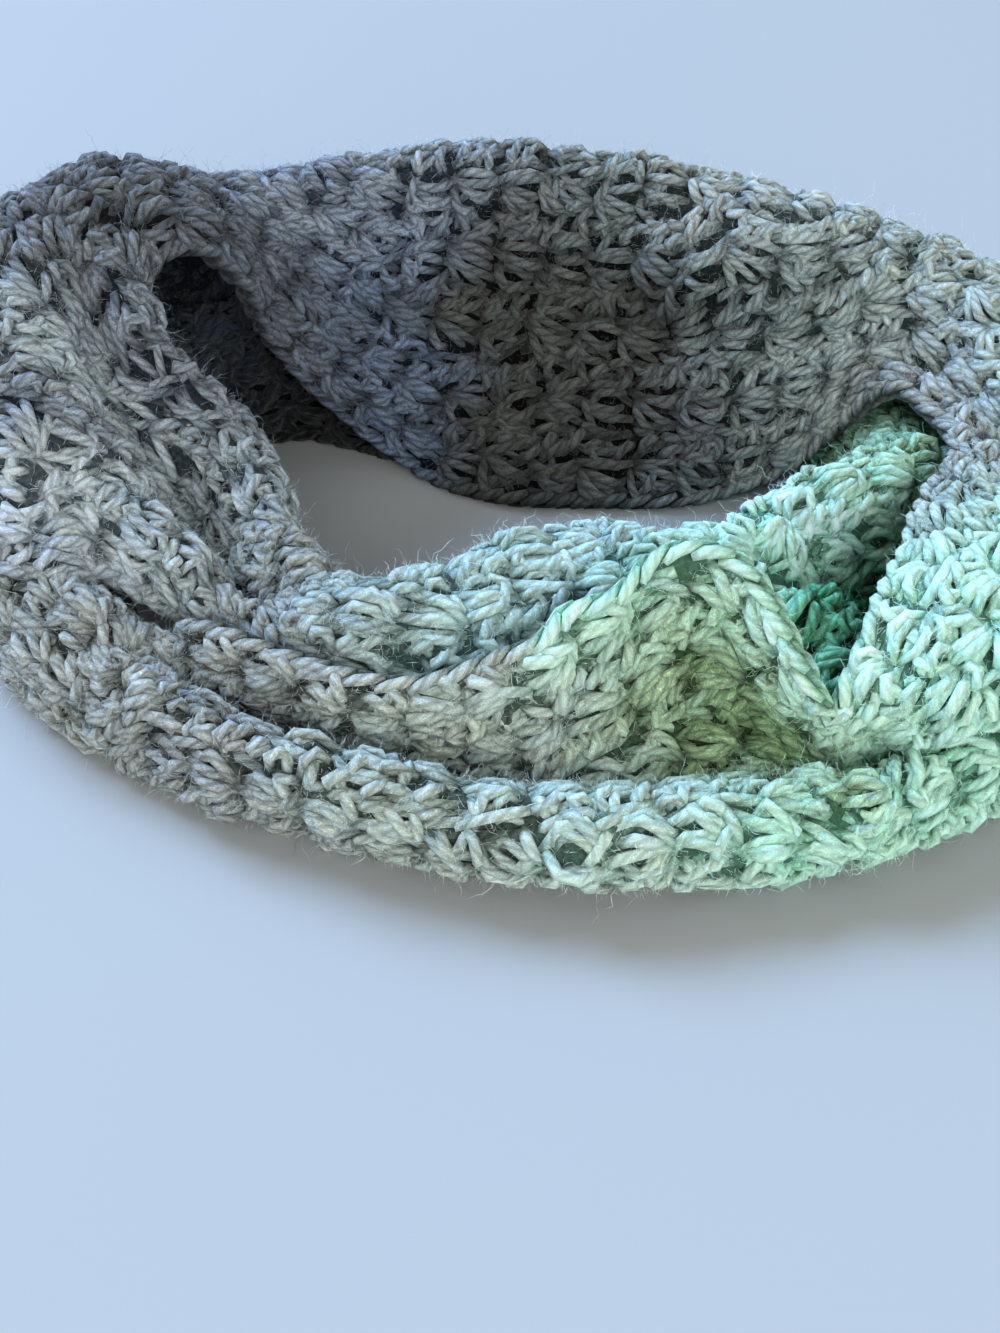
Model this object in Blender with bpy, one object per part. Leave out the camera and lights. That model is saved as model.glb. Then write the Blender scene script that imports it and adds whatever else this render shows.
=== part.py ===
"""Infinity scarf: one crocheted band, closed into a loop and wound twice, lying in a heap.

Both winds follow an oval guide on the table.  Every place is given by three sizes: the turn round
the guide in degrees (0 at the right, 90 at the back, -90 at the front), how far out from the guide
it is, and how high above the table.  A section is the band's width from its rim, the edge next to
the opening, to its tuck, the other edge.  The two tables below hold one row for each section, and
each stretch of band between two seams is its own solid.
"""
from collections import namedtuple

import bpy
import numpy as np

mm = 0.001
guide_half_width = 75.0  # the oval guide, in millimetres as all the sizes below
guide_half_depth = 40.0
guide_centre = (-3.35, -2.15)  # puts the middle of the whole heap on the origin
cloth = 5.0  # thickness of the crocheted band
seam_gap = 0.3
steps_per_section = 2  # rows of faces between two sections
faces_across = 15

Section = namedtuple("Section", "turn skew rim brow lip dip swell crest belly toe tuck")

# The first wind: the front roll with its upstanding ruffled rim, the right-hand turn over the
# second wind, the leaning back wall and the roll at its left end.  Each pair is (out, up).
first_wind = [
    Section(-163, 0, (45, 10), (48, 13), (52, 17), (56, 21), (61, 25), (68, 29), (76, 20), (75, 4), (64, 2.5)),
    Section(-152, 0, (43, 12), (46, 14), (49, 17), (53, 20), (57, 24), (61, 28), (71, 17), (70, 3), (58, 2.5)),
    Section(-141, 0, (45, 31), (47, 27), (49, 22), (53, 19), (57, 21), (61, 25), (70, 14), (67, 3), (56, 2.5)),
    Section(-127, 0, (46, 29), (48, 24), (50, 19), (54, 17), (58, 19), (64, 23), (73, 13), (68, 3), (57, 2.5)),
    Section(-109, 0, (49, 30), (50, 24), (52, 19), (56, 15), (61, 17), (67, 22), (77, 13), (71, 3), (59, 2.5)),
    Section(-97, 0, (42, 37), (46, 30), (50, 22), (56, 15), (62, 16), (70, 22), (80, 13), (74, 3), (61, 2.5)),
    Section(-91, 0, (41, 41), (46, 32), (51, 23), (57, 15), (63, 16), (72, 22), (82, 13), (76, 3), (63, 2.5)),
    Section(-87, 0, (36, 47), (42, 36), (48, 25), (57, 15), (64, 16), (73, 22), (83, 13), (77, 3), (64, 2.5)),
    Section(-80, 0, (33, 49), (40, 38), (47, 26), (58, 15), (65, 16), (74, 22), (83, 13), (77, 3), (64, 2.5)),
    Section(-73, 0, (28, 56), (36, 42), (45, 28), (58, 15), (66, 16), (75, 22), (84, 13), (78, 3), (65, 2.5)),
    Section(-66, 0, (30, 57), (38, 42), (47, 28), (59, 15), (67, 16), (76, 22), (85, 13), (79, 3), (66, 2.5)),
    Section(-62, 0, (38, 54), (43, 41), (50, 28), (60, 16), (68, 16), (77, 22), (86, 13), (80, 3), (67, 2.5)),
    Section(-59, 0, (54, 42), (53, 34), (54, 25), (60, 15), (68, 15), (77, 22), (87, 13), (80, 3), (67, 2.5)),
    Section(-56, 0, (64, 32), (63, 28), (60, 22), (61, 15), (69, 14), (78, 22), (87, 13), (80, 3), (68, 2.5)),
    Section(-52, 0, (60, 37), (66, 35), (67, 28), (62, 19), (69, 13), (78, 22), (87, 13), (81, 3), (68, 2.5)),
    Section(-47, 0, (54, 42), (66, 42), (75, 33), (64, 22), (70, 13), (78, 22), (87, 13), (81, 3), (68, 2.5)),
    Section(-41, 0, (45, 44), (62, 47), (83, 36), (70, 25), (72, 15), (80, 22), (87, 14), (82, 3), (70, 2.5)),
    Section(-33, 0, (38, 44), (55, 50), (79, 46), (79, 36), (76, 25), (83, 24), (90, 16), (86, 3), (74, 2.5)),
    Section(-22, 0, (31, 44), (42, 49), (60, 48), (72, 45), (80, 39), (86, 31), (94, 19), (91, 5), (80, 3)),
    Section(-10, 0, (30, 43), (38, 45), (48, 41), (58, 41), (69, 45), (82, 45), (96, 28), (97, 16), (94, 12)),
    Section(2, 0, (38, 41), (44, 43), (51, 37), (56, 40), (64, 50), (78, 54), (95, 38), (98, 26), (96, 20)),
    Section(12, 0, (37, 44), (43, 46), (50, 39), (55, 43), (61, 56), (76, 61), (92, 46), (97, 34), (96, 24)),
    Section(20, 0, (37, 42), (42, 45), (49, 40), (53, 44), (57, 60), (72, 67), (87, 54), (94, 40), (95, 26)),
    Section(28, 0, (38, 26), (42, 35), (47, 39), (52, 44), (53, 60), (66, 71), (81, 60), (88, 46), (90, 32)),
    Section(36, 0, (29, 9), (36, 22), (42, 32), (47, 42), (44, 57), (55, 74), (70, 69), (79, 56), (85, 42)),
    Section(46, 0, (16, 2.2), (25, 14), (31, 27), (37, 42), (34, 57), (44, 76), (57, 78), (68, 68), (76, 54)),
    Section(58, 0, (3, 2.2), (13, 14), (20, 28), (28, 43), (29, 59), (38, 77), (51, 82), (62, 75), (71, 60)),
    Section(75, 0, (-2, 2.2), (9, 12), (20, 24), (29, 38), (37, 55), (45, 72), (52, 84), (62, 81), (71, 67)),
    Section(96, 0, (-2, 2.2), (11, 12), (25, 22), (35, 35), (44, 50), (53, 69), (58, 84), (68, 82), (76, 69)),
    Section(112, 0, (12, 2.2), (21, 14), (30, 26), (38, 38), (46, 52), (54, 69), (59, 82), (68, 81), (77, 69)),
    Section(122, 0, (27, 9), (30, 22), (34, 34), (41, 44), (48, 56), (55, 70), (61, 81), (72, 78), (83, 60)),
    Section(132, 0, (35, 26), (34, 38), (38, 49), (44, 57), (51, 66), (58, 76), (66, 81), (78, 72), (88, 45)),
    Section(141, 0, (35, 46), (35, 57), (40, 66), (47, 73), (54, 79), (62, 83), (74, 80), (87, 57), (92, 24)),
    Section(149, 0, (30, 72), (33, 80), (39, 86), (47, 89), (55, 91), (65, 91), (79, 82), (91, 56), (94, 20)),
    Section(156, 0, (32, 84), (37, 90), (44, 94), (52, 96), (61, 97), (71, 95), (86, 82), (95, 54), (95, 19)),
]

# The second wind: the mass that comes down at the left, the roll along the opening, its far end
# under the right-hand turn, the layer behind the back wall and the outer band at the left.
second_wind = [
    Section(162, 6, (38, 82), (40, 88), (46, 92), (54, 94), (64, 95), (76, 93), (90, 79), (96, 55), (94, 26)),
    Section(167, 13, (37, 69), (34, 78), (40, 84), (48, 84), (57, 85), (70, 84), (85, 70), (90, 54), (90, 42)),
    Section(170, 20, (32, 54), (27, 65), (32, 72), (40, 70), (49, 70), (61, 69), (76, 57), (80, 48), (81, 41)),
    Section(171, 28, (18, 40), (12, 52), (18, 60), (31, 52), (39, 55), (50, 57), (62, 49), (66, 44), (67, 39)),
    Section(177, 24, (10, 32), (3, 43), (10, 51), (29, 39), (35, 43), (42, 48), (50, 43), (53, 36), (52, 28)),
    Section(198, 12, (6, 24), (-1, 35), (8, 43), (26, 31), (31, 34), (36, 38), (42, 33), (42, 26), (38, 18)),
    Section(215, 0, (12, 20), (7, 31), (14, 41), (26, 29), (31, 29), (35, 30), (38, 24), (37, 16), (32, 9)),
    Section(237, 0, (23, 3), (13, 18), (17, 35), (27, 40), (35, 35), (39, 27), (39, 17), (36, 8), (31, 3)),
    Section(253, 0, (13, 3), (4, 18), (6, 34), (18, 40), (31, 35), (38, 27), (38, 17), (34, 8), (27, 3)),
    Section(262, 0, (2, 3), (-8, 18), (-5, 34), (6, 40), (21, 37), (31, 28), (32, 17), (28, 8), (20, 3)),
    Section(269, 0, (-3, 3), (-14, 18), (-11, 34), (2, 40), (17, 37), (28, 28), (30, 17), (26, 8), (17, 3)),
    Section(284, 0, (-3, 3), (-14, 18), (-11, 34), (0, 40), (14, 37), (24, 29), (27, 18), (24, 8), (15, 3)),
    Section(298, 0, (0, 3), (-10, 18), (-7, 34), (4, 38), (15, 33), (25, 29), (35, 24), (42, 19), (44, 9)),
    Section(308, 0, (2, 3), (-8, 18), (-6, 34), (8, 32), (15, 25), (24, 31), (38, 22), (49, 22), (53, 13)),
    Section(320, 0, (0, 3), (-10, 18), (-6, 35), (9, 26), (15, 14), (24, 30), (34, 25), (41, 22), (46, 12)),
    Section(332, 0, (0, 3), (-10, 18), (-5, 36), (9, 28), (12, 12), (20, 5), (28, 4), (34, 2.6), (40, 2.4)),
    Section(347, -8, (0, 3), (-9, 18), (-4, 36), (10, 36), (17, 20), (22, 6), (32, 3.5), (40, 2.5), (48, 2.4)),
    Section(362, -16, (6, 3), (-2, 20), (4, 36), (19, 37), (27, 22), (33, 7), (44, 3.5), (54, 2.5), (64, 2.4)),
    Section(375, -22, (18, 3), (15, 18), (22, 34), (33, 35), (40, 22), (46, 8), (58, 4), (70, 2.6), (82, 2.4)),
    Section(386, -14, (30, 3), (32, 14), (38, 24), (47, 26), (56, 20), (64, 13), (74, 10), (84, 8), (90, 4)),
    Section(398, -4, (38, 3), (44, 10), (51, 20), (59, 27), (66, 29), (74, 28), (82, 20), (87, 6), (78, 2.4)),
    Section(412, 0, (24, 3), (32, 13), (41, 27), (48, 42), (56, 54), (66, 52), (79, 26), (85, 5), (74, 2.4)),
    Section(430, 0, (12, 2.5), (22, 11), (33, 24), (42, 39), (51, 56), (60, 68), (77, 36), (84, 5), (73, 2.4)),
    Section(456, 0, (14, 2.5), (26, 11), (38, 23), (48, 38), (57, 54), (65, 68), (81, 36), (87, 5), (76, 2.4)),
    Section(478, 0, (28, 2.5), (35, 10), (43, 22), (52, 36), (60, 51), (68, 62), (83, 34), (88, 5), (77, 2.4)),
    Section(494, 0, (52, 3), (53, 9), (55, 17), (59, 26), (65, 37), (72, 44), (83, 25), (87, 5), (76, 2.4)),
    Section(508, 0, (56, 3), (56, 8), (58, 14), (62, 21), (67, 28), (74, 32), (84, 20), (86, 5), (75, 2.4)),
    Section(522, 0, (48, 3), (50, 7), (53, 12), (58, 18), (65, 24), (72, 27), (83, 17), (84, 5), (73, 2.4)),
    Section(538, 0, (46, 4), (48, 7), (51, 12), (56, 19), (62, 25), (69, 29), (81, 16), (81, 4), (70, 2.4)),
]

# The band closes on itself two full turns on, where its last section meets its first.
band = first_wind + second_wind
band.append(band[0]._replace(turn=band[0].turn + 720))

# One named stretch for each part of the winding that shows: its first turn, last turn and colour.
stretches = {
    "outer_front": (-163, -62, (0.66, 0.72, 0.68)),
    "right_turn": (-62, 20, (0.66, 0.86, 0.78)),
    "back_wall": (20, 122, (0.26, 0.26, 0.26)),
    "left_roll": (122, 156, (0.34, 0.34, 0.34)),
    "left_mass": (156, 215, (0.50, 0.52, 0.52)),
    "inner_roll": (215, 298, (0.60, 0.76, 0.70)),
    "mint_roll": (298, 386, (0.50, 0.84, 0.68)),
    "back_layer_right": (386, 430, (0.54, 0.64, 0.59)),
    "back_layer_left": (430, 494, (0.50, 0.53, 0.51)),
    "outer_left": (494, 557, (0.48, 0.50, 0.49)),
}


def smooth_curve(points, at):
    """Catmull-Rom curve through points (one row each), read at the positions `at` in row numbers."""
    row = np.clip(np.floor(at).astype(int), 0, len(points) - 2)
    part = (at - row).reshape((-1,) + (1,) * (points.ndim - 1))
    padded = np.concatenate([2 * points[:1] - points[1:2], points, 2 * points[-1:] - points[-2:-1]])
    before, start, end, after = (padded[row + k] for k in range(4))
    return 0.5 * (
        2 * start
        + (end - before) * part
        + (2 * before - 5 * start + 4 * end - after) * part**2
        + (3 * start - before - 3 * end + after) * part**3
    )


def place(turn, out, up):
    """Millimetre positions of points given by their turn in degrees, distance out and height."""
    angle = np.radians(turn)
    normal = np.stack([guide_half_depth * np.cos(angle), guide_half_width * np.sin(angle)], -1)
    normal /= np.linalg.norm(normal, axis=-1, keepdims=True)
    on_guide = np.stack([guide_half_width * np.cos(angle), guide_half_depth * np.sin(angle)], -1)
    flat = np.array(guide_centre) + on_guide + normal * out[..., None]
    return np.concatenate([flat, up[..., None]], -1)


def landmarks(sections):
    """Array of section x landmark x (turn, out, up)."""
    rows = []
    for section in sections:
        pairs = np.array(section[2:], float)
        turns = section.turn + section.skew * np.linspace(0, 1, len(pairs))
        rows.append(np.column_stack([turns, pairs]))
    return np.array(rows)


def middle_surface():
    """The whole band as a grid of points in the middle of the cloth: the sections are joined by
    smooth curves along it, then each row is drawn as a smooth curve across it."""
    marks = landmarks(band)
    along = np.linspace(0, len(band) - 1, (len(band) - 1) * steps_per_section + 1)
    rows = smooth_curve(marks, along)
    across = np.linspace(0, marks.shape[1] - 1, faces_across)
    grid = smooth_curve(rows.transpose(1, 0, 2), across).transpose(1, 0, 2)
    return place(grid[..., 0], grid[..., 1], grid[..., 2])


def directions(grid):
    """Unit vectors along the closed band, and square to it on the side that faces up in front."""
    ahead = np.concatenate([grid[1:], grid[1:2]])
    behind = np.concatenate([grid[-2:-1], grid[:-1]])
    along = ahead - behind
    normal = np.cross(np.gradient(grid, axis=1), along)
    along /= np.linalg.norm(along, axis=-1, keepdims=True)
    return along, normal / np.linalg.norm(normal, axis=-1, keepdims=True)


def stretch_of(grid, along, normal, first, last):
    """The rows of the band from one turn to another, drawn in by half a seam gap at each end."""
    turns = [section.turn for section in band]
    start, end = (turns.index(turn) * steps_per_section for turn in (first, last))
    rows = slice(start, end + 1)
    middle = grid[rows].copy()
    middle[0] += along[start] * seam_gap / 2
    middle[-1] -= along[end] * seam_gap / 2
    return middle, normal[rows]


def cloth_wall(name, middle, normal, material):
    """A closed wall of the cloth's thickness round a grid of middle points, resting flat at z = 0."""
    half = normal * cloth / 2
    points = np.concatenate([(middle + half).reshape(-1, 3), (middle - half).reshape(-1, 3)])
    points[:, 2] = np.maximum(points[:, 2], 0)
    long, wide = middle.shape[:2]
    under = long * wide
    number = np.arange(under).reshape(long, wide)
    corners = (number[:-1, :-1], number[:-1, 1:], number[1:, 1:], number[1:, :-1])
    quads = np.stack(corners, -1).reshape(-1, 4)
    faces = np.concatenate([quads, quads[:, ::-1] + under]).tolist()
    # The first and the last row are cut into triangles the same way, so that a seam stays even.
    for edge, way in ((number[0], -1), (number[-1], 1), (number[:, 0], 1), (number[:, -1], -1)):
        near, far = edge[:-1], edge[1:]
        for half in ((near, far, far + under), (near, far + under, near + under)):
            faces += np.stack(half[::way], -1).tolist()
    mesh = bpy.data.meshes.new(name)
    mesh.from_pydata((points * mm).tolist(), [], faces)
    mesh.materials.append(material)
    mesh.shade_smooth()
    scarf_part = bpy.data.objects.new(name, mesh)
    bpy.context.scene.collection.objects.link(scarf_part)
    return scarf_part


def wool(name, colour):
    """Matt wool in one colour of the yarn's slow change from charcoal to mint."""
    material = bpy.data.materials.new(name)
    material.use_nodes = True
    surface = material.node_tree.nodes["Principled BSDF"]
    surface.inputs["Base Color"].default_value = (*colour, 1)
    surface.inputs["Roughness"].default_value = 0.9
    surface.inputs["Metallic"].default_value = 0.0
    return material


def build():
    for thing in list(bpy.data.objects):
        bpy.data.objects.remove(thing)
    grid = middle_surface()
    along, normal = directions(grid)
    for name, (first, last, colour) in stretches.items():
        middle, facing = stretch_of(grid, along, normal, first, last)
        cloth_wall(name, middle, facing, wool(name + "_wool", colour))


build()
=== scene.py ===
# Crocheted infinity scarf: one band of brushed wool, wound twice, with every stitch laid on the band's
# own form.
from collections import namedtuple

import bpy
import numpy as np
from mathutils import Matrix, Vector
from mathutils.bvhtree import BVHTree


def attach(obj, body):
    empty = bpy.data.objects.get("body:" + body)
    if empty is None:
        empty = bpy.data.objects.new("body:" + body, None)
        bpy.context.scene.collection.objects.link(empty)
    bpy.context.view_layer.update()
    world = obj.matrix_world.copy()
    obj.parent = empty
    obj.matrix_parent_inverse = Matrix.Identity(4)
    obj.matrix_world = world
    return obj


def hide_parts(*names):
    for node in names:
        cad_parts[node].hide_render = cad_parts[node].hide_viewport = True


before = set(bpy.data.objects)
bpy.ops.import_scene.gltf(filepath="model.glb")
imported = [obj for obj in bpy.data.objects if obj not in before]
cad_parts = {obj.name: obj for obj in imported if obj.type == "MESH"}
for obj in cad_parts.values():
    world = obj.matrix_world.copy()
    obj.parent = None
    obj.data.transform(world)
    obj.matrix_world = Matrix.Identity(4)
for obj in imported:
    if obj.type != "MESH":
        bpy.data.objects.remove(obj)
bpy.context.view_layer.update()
mm = 0.001
chance = np.random.default_rng(41)

# The form of the band, which goes twice round an oval.
bandForm = {
    "guideHalfWidth": 75.0,  # the oval guide that both winds follow, in mm like every size below
    "guideHalfDepth": 40.0,
    "guideCentre": (-3.35, -2.15),
    "samplesPerSection": 10,
    "samplesAcross": 161,
    "puff": 0.9,  # how far the soft cloth swells and sinks between the folds
    "puffSize": 34.0,
    "puffSeed": 5,
    "normalPasses": 4,  # how often the directions out of the cloth are averaged with their neighbours
}

# One row for each section of the band: its turn round the guide in degrees, how far it skews, then the
# (out, up) places of its rim, brow, lip, dip, swell, crest, belly, toe and tuck.
bandSections = [
    (-163, 0, (43, 9), (49, 17), (55, 28), (61, 36), (66, 35), (71, 31), (76, 20), (75, 4), (64, 2.5)),
    (-152, 0, (43, 12), (48, 19), (53, 28), (57, 33), (61, 31), (66, 27), (71, 16), (70, 3), (58, 2.5)),
    (-141, 0, (45, 32), (48, 28), (48, 20), (48, 12), (55, 13), (62, 26), (70, 15), (67, 3), (56, 2.5)),
    (-127, 0, (45, 32), (49, 27), (47, 20), (43, 12), (55, 7), (64, 24.5), (73, 14), (68, 3), (57, 2.5)),
    (-109, 0, (48, 33), (52, 27), (49, 19), (46, 11), (59, 7), (67, 23.5), (77, 14), (71, 3), (59, 2.5)),
    (-97, 0, (42, 38), (47, 31), (49, 21), (49, 10), (61, 8), (70, 23.5), (80, 14), (74, 3), (61, 2.5)),
    (-91, 0, (41, 42), (46, 33), (51, 21), (55, 8), (61, 12), (72, 23.5), (82, 14), (76, 3), (63, 2.5)),
    (-87, 0, (36, 47), (42, 36), (49, 23), (56, 8.5), (62, 13), (73, 23), (83, 14), (77, 3), (64, 2.5)),
    (-80, 0, (33, 49), (40, 38), (48, 24), (57.5, 10), (64, 15), (74, 22), (83, 14), (77, 3), (64, 2.5)),
    (-73, 0, (28, 56), (36, 42), (46, 26), (58, 11), (65, 15), (75, 22), (84, 13), (78, 3), (65, 2.5)),
    (-66, 0, (30, 57), (38, 42), (47, 27), (59, 12), (66, 15), (76, 22), (85, 13), (79, 3), (66, 2.5)),
    (-62, 0, (38, 54), (43, 41), (50, 27), (60, 13), (67, 14), (77, 22), (86, 13), (80, 3), (67, 2.5)),
    (-59, 0, (54, 42), (53, 34), (54, 25), (60, 14), (68, 13), (77, 22), (87, 13), (80, 3), (67, 2.5)),
    (-56, 0, (64, 32), (63, 28), (60, 21), (61, 14), (69, 12), (78, 22), (87, 13), (80, 3), (68, 2.5)),
    (-52, 0, (60, 37), (66, 35), (67, 28), (62, 18), (69, 11), (78, 22), (87, 13), (81, 3), (68, 2.5)),
    (-47, 0, (54, 42), (66, 42), (75, 33), (64, 20), (70, 10), (78, 22), (87, 13), (81, 3), (68, 2.5)),
    (-41, 0, (45, 44), (62, 47), (83, 36), (70, 23), (72, 12), (80, 22), (87, 14), (82, 3), (70, 2.5)),
    (-33, 0, (38, 44), (55, 50), (79, 46), (79, 36), (76, 25), (83, 24), (90, 16), (86, 3), (74, 2.5)),
    (-22, 0, (31, 44), (42, 49), (60, 48), (72, 45), (80, 39), (86, 31), (94, 19), (91, 5), (80, 3)),
    (-10, 0, (30, 43), (38, 45), (48, 41), (58, 41), (69, 45), (82, 45), (96, 28), (97, 16), (94, 12)),
    (2, 0, (38, 41), (44, 43), (51, 37), (56, 40), (64, 50), (78, 54), (95, 38), (98, 26), (96, 20)),
    (12, 0, (37, 44), (43, 46), (50, 39), (55, 43), (61, 56), (76, 61), (92, 46), (97, 34), (96, 24)),
    (20, 0, (37, 42), (42, 45), (49, 40), (53, 44), (57, 60), (72, 67), (87, 54), (94, 40), (95, 26)),
    (28, 0, (38, 26), (42, 35), (47, 39), (52, 44), (53, 60), (66, 71), (81, 60), (88, 46), (90, 32)),
    (36, 0, (29, 9), (36, 22), (42, 32), (47, 42), (44, 57), (55, 74), (70, 69), (79, 56), (85, 42)),
    (46, 0, (16, 2.2), (25, 14), (31, 27), (37, 42), (34, 57), (44, 76), (57, 78), (68, 68), (76, 54)),
    (58, 0, (3, 2.2), (13, 14), (20, 28), (28, 43), (29, 59), (38, 77), (51, 82), (62, 75), (71, 60)),
    (75, 0, (-2, 2.2), (9, 12), (20, 24), (29, 38), (37, 55), (45, 72), (52, 84), (62, 81), (71, 67)),
    (96, 0, (-2, 2.2), (11, 12), (25, 22), (35, 35), (44, 50), (53, 69), (58, 84), (68, 82), (76, 69)),
    (112, 0, (12, 2.2), (21, 14), (30, 26), (38, 38), (46, 52), (54, 69), (59, 82), (68, 81), (77, 69)),
    (122, 0, (27, 9), (30, 22), (34, 34), (41, 44), (48, 56), (55, 70), (61, 81), (72, 78), (83, 60)),
    (132, 0, (35, 26), (34, 38), (38, 49), (44, 57), (51, 66), (58, 76), (66, 81), (78, 72), (88, 45)),
    (141, 0, (35, 46), (35, 57), (40, 66), (47, 73), (54, 79), (62, 83), (74, 80), (87, 57), (92, 24)),
    (149, 0, (30, 72), (33, 80), (39, 86), (47, 89), (55, 91), (65, 91), (79, 82), (91, 56), (94, 20)),
    (156, 0, (32, 84), (37, 90), (44, 94), (52, 96), (61, 97), (71, 95), (86, 82), (96, 52), (97, 14)),
    (162, 6, (38, 82), (40, 88), (46, 92), (54, 94), (64, 95), (76, 93), (90, 79), (97, 50), (97, 15)),
    (167, 13, (37, 69), (34, 78), (40, 84), (47, 75), (54, 84), (70, 84), (85, 69), (92, 47), (92, 24)),
    (170, 20, (32, 54), (26, 65), (31, 73), (39, 51), (50, 68), (61, 70), (75, 57), (81, 45), (82, 34)),
    (171, 28, (18, 40), (11, 52), (17, 61), (27, 32), (38, 53), (48, 58), (60, 50), (63, 43), (62, 36)),
    (177, 24, (9, 32), (1, 42), (9, 52), (21, 22), (33, 43), (40, 49), (46, 43), (47, 35), (44, 27)),
    (198, 12, (5, 24), (-3, 34), (6, 44), (18, 13), (28, 34), (34, 39), (38, 33), (36, 25), (32, 17)),
    (215, 0, (11, 20), (5, 31), (13, 42), (22, 14), (29, 28), (33, 31), (36, 25), (34, 17), (30, 9)),
    (237, 0, (23, 3), (13, 18), (17, 35), (27, 40), (35, 35), (39, 27), (39, 17), (36, 8), (31, 3)),
    (253, 0, (13, 3), (4, 18), (6, 34), (18, 40), (31, 35), (38, 27), (38, 17), (34, 8), (27, 3)),
    (262, 0, (2, 3), (-8, 18), (-5, 34), (6, 40), (21, 37), (31, 28), (32, 17), (28, 8), (20, 3)),
    (269, 0, (-3, 3), (-14, 18), (-11, 34), (2, 40), (17, 37), (28, 28), (30, 17), (26, 8), (17, 3)),
    (284, 0, (-3, 3), (-14, 18), (-11, 34), (0, 40), (14, 37), (24, 29), (27, 18), (24, 8), (15, 3)),
    (298, 0, (0, 3), (-10, 18), (-7, 34), (4, 38), (15, 33), (25, 29), (35, 24), (42, 19), (44, 9)),
    (308, 0, (2, 3), (-8, 18), (-6, 34), (8, 32), (15, 25), (24, 31), (38, 22), (49, 22), (53, 13)),
    (320, 0, (0, 3), (-10, 18), (-6, 35), (9, 26), (15, 14), (24, 30), (34, 25), (41, 22), (46, 12)),
    (332, 0, (0, 3), (-10, 18), (-5, 36), (9, 28), (12, 12), (20, 5), (28, 4), (34, 2.6), (40, 2.4)),
    (347, -8, (0, 3), (-9, 18), (-4, 36), (10, 36), (17, 20), (22, 6), (32, 3.5), (40, 2.5), (48, 2.4)),
    (362, -16, (6, 3), (-2, 20), (4, 36), (19, 37), (27, 22), (33, 7), (44, 3.5), (54, 2.5), (64, 2.4)),
    (375, -22, (18, 3), (15, 18), (22, 34), (33, 35), (40, 22), (46, 8), (58, 4), (70, 2.6), (82, 2.4)),
    (386, -14, (30, 3), (32, 14), (38, 24), (47, 26), (56, 20), (64, 13), (74, 10), (84, 8), (90, 4)),
    (398, -4, (38, 3), (44, 10), (51, 20), (59, 27), (66, 29), (74, 28), (82, 20), (87, 6), (78, 2.4)),
    (412, 0, (24, 3), (32, 13), (41, 27), (48, 42), (56, 54), (66, 52), (79, 26), (85, 5), (74, 2.4)),
    (430, 0, (12, 2.5), (22, 11), (33, 24), (42, 39), (51, 56), (60, 68), (77, 36), (84, 5), (73, 2.4)),
    (456, 0, (14, 2.5), (26, 11), (38, 23), (48, 38), (57, 54), (65, 68), (81, 36), (87, 5), (76, 2.4)),
    (478, 0, (28, 2.5), (35, 10), (43, 22), (52, 36), (60, 51), (68, 62), (83, 34), (88, 5), (77, 2.4)),
    (494, 0, (52, 3), (53, 9), (55, 17), (59, 26), (65, 37), (72, 44), (83, 25), (87, 5), (76, 2.4)),
    (508, 0, (56, 3), (56, 8), (58, 15), (62, 24), (67, 33), (75, 39), (84, 23), (86, 5), (75, 2.4)),
    (522, 0, (48, 3), (50, 8), (54, 16), (60, 25), (67, 33), (75, 37), (83, 20), (84, 5), (73, 2.4)),
    (538, 0, (46, 8), (51, 16), (57, 27), (62, 32), (67, 33), (72, 31), (81, 18), (81, 4), (70, 2.4)),
]
bandStretches = {  # the stretches of the winding: the first and the last turn of each, and how it is held
    "outer_front": (-163, -62, "laid"),
    "right_turn": (-62, 20, "folded"),
    "back_wall": (20, 122, "folded"),
    "left_roll": (122, 156, "folded"),
    "left_mass": (156, 215, "draped"),
    "inner_roll": (215, 298, "draped"),
    "mint_roll": (298, 386, "laid"),
    "back_layer_right": (386, 430, "laid"),
    "back_layer_left": (430, 494, "laid"),
    "outer_left": (494, 557, "laid"),
}
bandTurns = np.array([row[0] for row in bandSections] + [bandSections[0][0] + 720], float)
sectionSamples = np.arange(len(bandTurns)) * bandForm["samplesPerSection"]
samplesRound = sectionSamples[-1]
samples = np.arange(samplesRound + 1)


def curveThrough(points, at):
    # Catmull-Rom curve: between rows b and c, with a before and d after, the point at share t is
    # half of 2b + (c - a)t + (2a - 5b + 4c - d)t^2 + (3b - a - 3c + d)t^3.
    row = np.clip(np.floor(at).astype(int), 0, len(points) - 2)
    share = (at - row).reshape((-1,) + (1,) * (points.ndim - 1))
    padded = np.concatenate([2 * points[:1] - points[1:2], points, 2 * points[-1:] - points[-2:-1]])
    a, b, c, d = (padded[row + k] for k in range(4))
    return 0.5 * (2 * b + (c - a) * share + (2 * a - 5 * b + 4 * c - d) * share**2
                  + (3 * b - a - 3 * c + d) * share**3)


def unit(vectors):
    # Each vector over its own length, so that it is 1 long.
    return vectors / np.maximum(np.linalg.norm(vectors, axis=-1, keepdims=True), 1e-9)


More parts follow.
